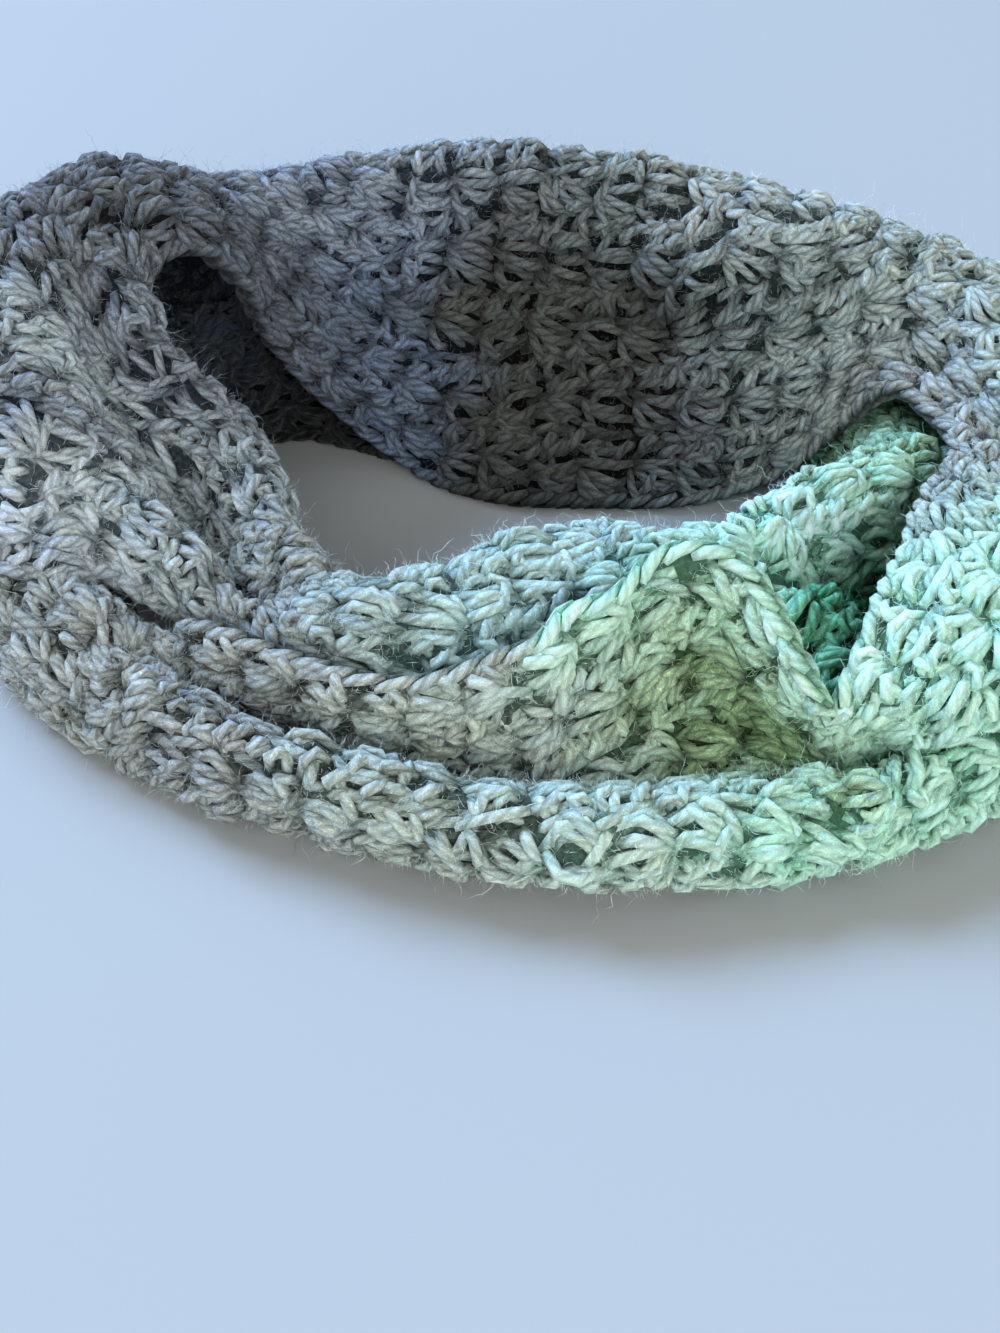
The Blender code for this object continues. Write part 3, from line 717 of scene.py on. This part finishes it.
def ringsRound(along, hint, corners):
    # Places on the unit circle square to a path: side cos a + up sin a, for each corner's angle a.
    side = unit(np.cross(along, hint))
    up, angle = np.cross(side, along), np.radians(corners)
    return side[:, :, None] * np.cos(angle)[:, None] + up[:, :, None] * np.sin(angle)[:, None]


def tubesAlong(centres, outward, thick, corners):
    # Round each path runs a ring: centre + r times the unit circle, whose up is the part of `outward`
    # square to the path. Flat ends close each tube.
    count, rings = centres.shape[:2]
    angle = np.radians(corners)
    ring = ringsRound(unit(np.gradient(centres, axis=1)), outward, corners)
    points = onFloor(centres[:, :, None] + ring * thick[:, :, None, None])
    number = np.arange(count * rings * len(angle)).reshape(count, rings, len(angle))
    turned = np.roll(number, -1, axis=2)
    quads = np.stack([number[:, :-1], number[:, 1:], turned[:, 1:], turned[:, :-1]], -1).ravel()
    ends = np.concatenate([number[:, 0], number[:, -1, ::-1]]).ravel()
    sizes = np.concatenate([np.full(len(quads) // 4, 4), np.full(2 * count, len(angle))])
    length = np.linalg.norm(np.diff(centres, axis=1), axis=-1).cumsum(1)
    length = np.concatenate([np.zeros((count, 1)), length], 1)[..., None]
    turn = angle + 0 * length
    level = length + chance.uniform(0, woolFinish["streakShift"], (count, 1, 1)) + 0 * turn
    fibres = np.stack([np.cos(turn), np.sin(turn), level], -1)
    return points.reshape(-1, 3), np.concatenate([quads, ends]), sizes, fibres.reshape(-1, 3)


def strandsOf(chart, rows, starts, lengths, side):
    # Along a strand, x, y are the parabola through its start, middle and end; it rises from the cloth
    # as sink + lift h^0.6 - dive (1-h)^4, h being 4t(1-t), and is thickest half way. Side is 1 on the
    # face, -1 on the back.
    places = np.array(chart)
    stars, strands, rings = len(rows), len(chart), stitchForm["rings"]
    t = np.linspace(0, 1, rings)
    weights = np.stack([(1 - t) * (1 - 2 * t), 4 * t * (1 - t), t * (2 * t - 1)])
    stray = np.array(stitchForm["wander"])[:, None]
    marks = places[:, :6].reshape(-1, 3, 2) + chance.normal(0, 1, (stars, strands, 3, 2)) * stray
    path = np.einsum("csik,it->cstk", marks, weights)
    middleX, middleY = stitchForm["starLength"] / 2, stitchForm["starHeight"] / 2
    x, y = path[..., 0] - middleX, path[..., 1] - middleY
    tilt = chance.normal(0, stitchForm["starTilt"], (stars, 1, 1))
    stray = chance.normal(0, stitchForm["starWander"], (2, stars, 1, 1))
    x, y = x - y * tilt + middleX + stray[0], y + x * tilt + middleY + stray[1]
    arch = 4 * t * (1 - t)
    height = places[:, 6, None] - stitchForm["dive"] * (1 - arch) ** 4 + places[:, 7, None] * arch**0.6
    height = side * (height + chance.normal(0, stitchForm["liftSpread"], (stars, strands, 1)))
    thick = (1 - stitchForm["taper"] * (1 - arch**0.5)) * places[:, 8, None]
    thick = thick * (1 + chance.normal(0, stitchForm["thickSpread"], (stars, strands, 1)))
    u, f = starToBand(rows, starts, lengths, x.reshape(stars, -1), y.reshape(stars, -1))
    return u.reshape(x.shape), f.reshape(x.shape), height, thick


def yarn(u, f, height, thick, away=None, sides=stitchForm["sides"]):
    # Points, corners, face sizes, colours and fibres of strands. `away` moves them out past the cloth's
    # edge, along the cloth. Painted shade makes the wool darker low between the strands and on their
    # undersides: its light is l l (3 - 2l), l being its height over creviceDepth, times the painted fold
    # light.
    rings = stitchForm["rings"]
    u, f, height, thick = (x.reshape(-1, rings) for x in (u, f, height, thick))
    side = np.sign(height.mean(1))[:, None]
    height = height * side
    outward = unit(readGrid(bandNormals, u, f)) * side[..., None]
    centres = readGrid(bandPoints, u, f) + outward * height[..., None]
    if away is not None:
        centres = centres + readGrid(bandAcross, u, f) * away.reshape(-1, rings)[..., None]
    points, corners, sizes, fibres = tubesAlong(centres, outward, thick, sides)
    level = height[..., None] + thick[..., None] * np.sin(np.radians(sides))
    light = np.clip(level / stitchForm["creviceDepth"], 0, 1)
    light = (light * light * (3 - 2 * light) * paintedFoldLight(u, f, side)[..., None])[..., None]
    # Painted shade round each strand: its sides darker than its top.
    paintedRoundLight = np.sin(np.radians(sides)) - stitchForm["paintedRoundTop"]
    paintedRoundLight = 1 + stitchForm["paintedRoundShade"] * paintedRoundLight[:, None]
    shade = 1 + chance.normal(0, stitchForm["shadeSpread"], (len(u), 1, 1, 1))
    warmth = chance.normal(0, stitchForm["hueSpread"], (len(u), 1, 1, 1))
    warm = 1 + warmth * np.array(stitchForm["hueShift"])
    dye = woolColour(u, f)[:, :, None]
    # Painted shade deep between the strands and in folds: darker and deeper in colour where light is low,
    # less so on pale wool.
    crevice = stitchForm["paintedCreviceShade"] + stitchForm["paintedCrevicePale"] * dye.mean(-1, keepdims=True)
    dye = dye ** (1 + stitchForm["paintedCreviceSaturation"] * (1 - light))
    colours = dye * (crevice * (1 - light) + light) * shade * warm * paintedRoundLight
    return points, corners, sizes, colours.reshape(-1, 3), fibres


def joined(groups):
    # Several groups of parts as one: each group's corners count on from the points before it.
    before = np.cumsum([0] + [len(group[0]) for group in groups])
    parts = [list(part) for part in zip(*groups)]
    parts[1] = [corners + shift for corners, shift in zip(parts[1], before)]
    return [np.concatenate(part) for part in parts]


# The V stitches along both edges.
edgeForm = {
    "link": 7.6,  # one V stitch along the edge
    "reach": 9.6,  # and how long each of its strands is
    "thick": 1.7,
    "inner": -1.6,  # where a strand starts and ends, past the edge
    "outer": 1.5,
    "rise": 0.15,  # height over the cloth: rise, spread that closes to 0, and arch half way
    "spread": 1.5,
    "arch": 0.5,
    "thinShare": 0.62,  # thickness at a strand's ends
    "wander": 0.3,
    "thickSpread": 0.08,
}


def edgeChain(first, last, edge):
    # A chain of V stitches along one edge. Each link is two strands, one on each side of the cloth and
    # half a link apart: they start in the cloth, run along and outwards as inner to outer by t^0.7, and
    # close past its edge as rise + spread (1-t)^0.8 + arch 4t(1-t).
    column = edge * (bandForm["samplesAcross"] - 1)
    start, end = np.interp([sampleAtTurn(first), sampleAtTurn(last)], samples, bandRun[:, column])
    count = int(round((end - start) / edgeForm["link"]))
    t = np.linspace(0, 1, stitchForm["rings"])
    arch = 4 * t * (1 - t)
    begin = start + np.arange(count)[:, None, None] * (end - start) / count
    run = begin + np.array([0.0, 0.5])[:, None] * edgeForm["link"] + t * edgeForm["reach"]
    run = run + chance.normal(0, edgeForm["wander"], (count, 2, 1))
    side = np.array([1.0, -1.0])[:, None]
    rise = edgeForm["rise"] + edgeForm["spread"] * (1 - t) ** 0.8 + edgeForm["arch"] * arch
    height = side * rise + 0 * run
    away = (2 * edge - 1) * (edgeForm["inner"] + (edgeForm["outer"] - edgeForm["inner"]) * t**0.7) + 0 * run
    thick = edgeForm["thick"] * (edgeForm["thinShare"] + (1 - edgeForm["thinShare"]) * arch**0.5)
    thick = thick * (1 + chance.normal(0, edgeForm["thickSpread"], (count, 2, 1)))
    return sampleAtRun(column, run), np.full(run.shape, float(edge)), height, thick, away


# The brushed fuzz.
haloForm = {
    "lean": (0.1, 0.9),  # how far a hair stands off the cloth, 1 straight out
    "root": (0.8, 3.0),
    "fullShare": 0.45,  # a star that sees this share of the sky has its full number of hairs
    "leastShare": 0.2,  # and the fewest hairs on a star, as a share of that number
    "shadeSpread": 0.25,
    "sidesFrom": (0.31, 0.52, 0.8),  # hardly any hair runs this way, so its sides are laid out from it
}
Hair = namedtuple("Hair", "each shortest longest thinnest thickest rings curl kink")
hairKinds = {  # on each star that shows: how many, lengths and radii in mm, and how a hair bends
    "fuzz": Hair(96, 1.4, 3.6, 0.035, 0.06, 1, 0.6, 0.0),
    "wisp": Hair(16, 2.4, 5.0, 0.03, 0.05, 2, 0.9, 0.08),
    "curl": Hair(4, 4.0, 8.5, 0.028, 0.042, 5, 0.9, 0.07),
    "stray": Hair(0.06, 9.0, 15.0, 0.03, 0.045, 9, 0.7, 0.05),
}


def hairsOn(rows, starts, lengths, share, side, kind):
    # A hair is a spindle that leaves the strand at a slant, bends off to one side and is kinked:
    # root + L (d s + c b s^2), with d the slanted direction, b square to it and c its curl.
    fullness = np.clip(share / haloForm["fullShare"], haloForm["leastShare"], 1)
    each = np.floor(kind.each * fullness + chance.uniform(0, 1, len(rows))).astype(int)
    stars = np.repeat(np.arange(len(rows)), each)
    count = len(stars)
    x = chance.uniform(0, stitchForm["starLength"], (count, 1))
    y = chance.uniform(0, stitchForm["starHeight"], (count, 1))
    u, f = starToBand(rows[stars], starts[stars], lengths[stars], x, y)
    u, f = u[:, 0], f[:, 0]
    normal = unit(readGrid(bandNormals, u, f)) * side
    across = unit(readGrid(bandAcross, u, f))
    along = np.cross(across, normal)
    angle = chance.uniform(0, 2 * np.pi, (count, 1))
    lean = chance.uniform(*haloForm["lean"], (count, 1))
    direction = unit((across * np.cos(angle) + along * np.sin(angle)) * (1 - lean) + normal * lean)
    bend = unit(np.cross(direction, chance.normal(0, 1, (count, 3)))) * kind.curl
    size = chance.uniform(kind.shortest, kind.longest, (count, 1, 1))
    root = readGrid(bandPoints, u, f) + normal * chance.uniform(*haloForm["root"], (count, 1))
    s = np.linspace(0, 1, kind.rings + 2)[:, None]
    path = root[:, None] + (direction[:, None] * s + bend[:, None] * s**2) * size
    path[:, 1:-1] += chance.normal(0, kind.kink, (count, kind.rings, 3)) * size
    points, corners, sizes = spindles(path, chance.uniform(kind.thinnest, kind.thickest, count))
    colours = woolColour(u, f) * (1 + chance.normal(0, haloForm["shadeSpread"], (count, 1)))
    return points.reshape(-1, 3), corners, sizes, np.repeat(colours, kind.rings * 3 + 2, 0)


def spindles(path, thick):
    # Each path becomes a closed three-sided spindle: its first and last points are the tips, and each
    # point between carries a ring of three.
    count, rings = path.shape[0], path.shape[1] - 2
    ring = ringsRound(unit(path[:, 2:] - path[:, :-2]), np.array(haloForm["sidesFrom"]), [0, 120, 240])
    middle = path[:, 1:-1, None] + ring * thick[:, None, None, None]
    points = onFloor(np.concatenate([path[:, :1], middle.reshape(count, 3 * rings, 3), path[:, -1:]], 1))
    base = np.arange(count)[:, None, None] * (3 * rings + 2)
    ringNumber = 1 + np.arange(3 * rings).reshape(rings, 3)
    nextOne = np.roll(ringNumber, -1, axis=1)
    first = np.stack([ringNumber[0], nextOne[0], 0 * ringNumber[0]], -1)
    last = np.stack([nextOne[-1], ringNumber[-1], 0 * ringNumber[-1] + 3 * rings + 1], -1)
    tips = (base + np.concatenate([first, last])[None]).reshape(-1)
    walls = np.stack([ringNumber[:-1], ringNumber[1:], nextOne[1:], nextOne[:-1]], -1).reshape(-1, 4)
    walls = (base + walls[None]).reshape(-1)
    sizes = np.concatenate([np.full(len(tips) // 3, 3), np.full(len(walls) // 4, 4)])
    return points, np.concatenate([tips, walls]), sizes


# The pieces of each stretch.
stars = starPlaces()
middle = [np.array([stitchForm[size] / 2]) for size in ("starLength", "starHeight")]
starMiddle, _ = starToBand(*stars, *middle)
starTurns = turnAtSample(starMiddle[:, 0])
looks = starToBand(*stars, *np.transpose(sightForm["starPlaces"]))
openShare = {side: readGrid(skyShares[side], *looks)[..., 0].mean(1) for side in (1, -1)}
shows = {side: openShare[side] > sightForm["leastShare"] for side in (1, -1)}
print(f"stars: {len(starTurns)}, {shows[1].sum()} show their face, {shows[-1].sum()} their back")
face = strandsOf(starChart, *stars, 1)
back = strandsOf(reverseChart, *stars, -1)
under = strandsOf(underChart, *stars, 1)
allTriangles = 0
for name, (first, last, held) in bandStretches.items():
    slot = name + "_wool"
    cloth, width, length = backingShell(name, first, last)
    inside = (starTurns >= first) & (starTurns < last)
    seen = {side: inside & shows[side] for side in (1, -1)}
    layers = [yarn(*(part[seen[1]] for part in face)),
              yarn(*(part[seen[1]] for part in under), sides=stitchForm["underSides"]),
              yarn(*(part[seen[-1]] for part in back))]
    edges = [edgeChain(first, last, edge) for edge in (0, 1)]
    layers.append(yarn(*(np.concatenate(part) for part in zip(*edges))))
    hairs = []
    for side in (1, -1):
        chosen = [part[seen[side]] for part in (*stars, openShare[side])]
        hairs += [hairsOn(*chosen, side, kind) for kind in hairKinds.values()]
    pieces = [makePiece(name + "_stitches", slot, brushedWool, *joined(layers)),
              makePiece(name + "_halo", slot, woolHalo, *joined(hairs))]
    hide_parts(name)
    triangles = [len(piece.data.loops) - 2 * len(piece.data.polygons) for piece in [cloth, *pieces]]
    allTriangles += sum(triangles)
    print(f"{name}: {width * 1000:.0f} x {length * 1000:.0f} mm flat, triangles {triangles}")
print(f"triangles: {allTriangles}")

# The floor.
floorForm = {
    "corners": [(-3, -3, 0), (3, -3, 0), (3, 5, 0), (-3, 5, 0)],
    "colour": (0.345, 0.365, 0.385, 1),
    "roughness": 0.8,
}
floorMesh = bpy.data.meshes.new("floor")
floorMesh.from_pydata(floorForm["corners"], [], [(0, 1, 2, 3)])
floor = bpy.data.objects.new("floor", floorMesh)
bpy.context.scene.collection.objects.link(floor)
paleFloor = bpy.data.materials.new("paleFloor")
paleFloor.use_nodes = True
floorShader = paleFloor.node_tree.nodes["Principled BSDF"]
floorShader.inputs["Base Color"].default_value = floorForm["colour"]
floorShader.inputs["Roughness"].default_value = floorForm["roughness"]
floorMesh.materials.append(paleFloor)

# The light.
studio = {
    "skyColour": (0.97, 0.97, 0.94, 1),
    "skyStrength": 0.55,
    "window": ((-14.4, 13.8, 15.0), (14.0, 10.4), 14900, (0.40, 0.60, 0.90)),  # place, size, watts, colour
    "fill": ((0.6, -3.0, 1.5), (3.0, 2.0), 92, (1.0, 0.97, 0.90)),
}
scene = bpy.context.scene
scene.view_settings.view_transform = "Standard"
sky = bpy.data.worlds.new("studio")
sky.use_nodes = True
background = sky.node_tree.nodes["Background"]
background.inputs["Color"].default_value = studio["skyColour"]
background.inputs["Strength"].default_value = studio["skyStrength"]
scene.world = sky


def softLamp(name, place, size, power, colour):
    # A rectangle of light that faces the scarf: it is turned along the line from its place to the origin.
    lamp = bpy.data.lights.new(name, "AREA")
    lamp.shape, lamp.size, lamp.size_y = "RECTANGLE", *size
    lamp.energy, lamp.color = power, colour
    holder = bpy.data.objects.new(name, lamp)
    holder.location = place
    holder.rotation_euler = (-Vector(place)).to_track_quat("-Z", "Y").to_euler()
    scene.collection.objects.link(holder)


for lampName in ("window", "fill"):
    softLamp(lampName, *studio[lampName])

# The camera.
cameraForm = {"place": (-0.01435, -0.35815, 0.266), "tilt": 50.0, "focalLength": 55.73, "filmWidth": 36.0}
lens = bpy.data.cameras.new("camera")
lens.sensor_fit = "HORIZONTAL"
lens.sensor_width, lens.lens = cameraForm["filmWidth"], cameraForm["focalLength"]
camera = bpy.data.objects.new("camera", lens)
camera.location = cameraForm["place"]
camera.rotation_euler = (np.radians(cameraForm["tilt"]), 0, 0)
scene.collection.objects.link(camera)
scene.camera = camera
print("floor, light and camera set")
